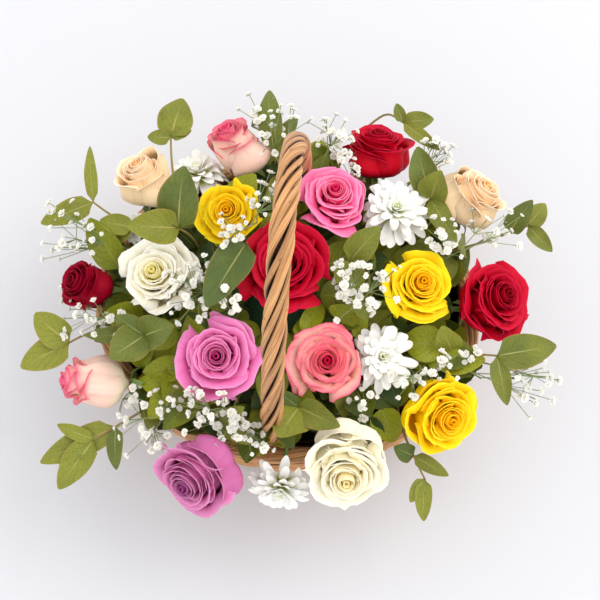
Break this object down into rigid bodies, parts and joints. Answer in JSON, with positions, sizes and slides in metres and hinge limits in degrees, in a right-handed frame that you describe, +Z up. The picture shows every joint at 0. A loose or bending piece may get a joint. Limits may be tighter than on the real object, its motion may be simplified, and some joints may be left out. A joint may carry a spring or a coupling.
{
  "type": "flower basket arrangement",
  "caption": "Oval willow basket with a tall twisted arch handle, filled with mixed roses, white spray chrysanthemums, eucalyptus and gypsophila.",
  "frame": {"origin": "centre of the underside of the basket's flat base", "axes": "+Z up through the handle, +X to the right along the long side of the oval, +Y to the back; the handle arches over in the YZ plane"},
  "size_m": [0.4227, 0.349, 0.3944],
  "materials": {
    "woven_willow": "woven buff willow, satin",
    "rim_willow": "thin peeled willow rods, satin",
    "peeled_willow": "thick peeled willow rods, satin with dark splits",
    "liner": "matt",
    "wet_foam": "matt, fine open cells",
    "stem_green": "soft green stem and calyx",
    "eucalyptus_leaf": "waxy leaf, satin",
    "gypsophila_floret": "matt white florets on thin green twigs",
    "chrysanthemum_white": "matt white straps, pale yellow-green middle",
    "petal_bicolour": "soft cream petal with pink edges",
    "petal_peach": "soft petal",
    "petal_yellow": "soft petal",
    "petal_white": "soft petal",
    "petal_ivory": "soft petal",
    "petal_dark_red": "velvety petal",
    "petal_red": "velvety petal",
    "petal_mauve": "soft petal",
    "petal_pink": "soft petal",
    "petal_coral": "soft petal with cream back"
  },
  "bodies": {
    "root": {"basket_body": "woven_willow", "basket_rim": "rim_willow", "chrysanthemum_back_left": "chrysanthemum_white", "chrysanthemum_front": "chrysanthemum_white", "chrysanthemum_left": "chrysanthemum_white", "chrysanthemum_right_back": "chrysanthemum_white", "chrysanthemum_right_front": "chrysanthemum_white", "chrysanthemum_spray_front": "stem_green", "chrysanthemum_spray_left": "stem_green", "chrysanthemum_spray_right": "stem_green", "eucalyptus_back": "eucalyptus_leaf", "eucalyptus_back_left": "eucalyptus_leaf", "eucalyptus_back_right": "eucalyptus_leaf", "eucalyptus_centre_left": "eucalyptus_leaf", "eucalyptus_front": "eucalyptus_leaf", "eucalyptus_front_left": "eucalyptus_leaf", "eucalyptus_left": "eucalyptus_leaf", "eucalyptus_right": "eucalyptus_leaf", "foam": "wet_foam", "gypsophila_back": "gypsophila_floret", "gypsophila_centre_left": "gypsophila_floret", "gypsophila_front_left": "gypsophila_floret", "gypsophila_left": "gypsophila_floret", "gypsophila_right": "gypsophila_floret", "handle": "peeled_willow", "liner_tray": "liner", "rose_bicolour_back": "petal_bicolour", "rose_bicolour_left": "petal_bicolour", "rose_coral": "petal_coral", "rose_dark_red": "petal_dark_red", "rose_mauve_centre": "petal_mauve", "rose_mauve_front": "petal_mauve", "rose_peach_left": "petal_peach", "rose_peach_right": "petal_peach", "rose_pink": "petal_pink", "rose_red_back": "petal_red", "rose_red_centre": "petal_red", "rose_red_right": "petal_red", "rose_white_front": "petal_ivory", "rose_white_left": "petal_white", "rose_yellow_front": "petal_yellow", "rose_yellow_left": "petal_yellow", "rose_yellow_right": "petal_yellow", "stem_bicolour_back": "stem_green", "stem_bicolour_left": "stem_green", "stem_coral": "stem_green", "stem_dark_red": "stem_green", "stem_mauve_centre": "stem_green", "stem_mauve_front": "stem_green", "stem_peach_left": "stem_green", "stem_peach_right": "stem_green", "stem_pink": "stem_green", "stem_red_back": "stem_green", "stem_red_centre": "stem_green", "stem_red_right": "stem_green", "stem_white_front": "stem_green", "stem_white_left": "stem_green", "stem_yellow_front": "stem_green", "stem_yellow_left": "stem_green", "stem_yellow_right": "stem_green"}
  },
  "joints": []
}
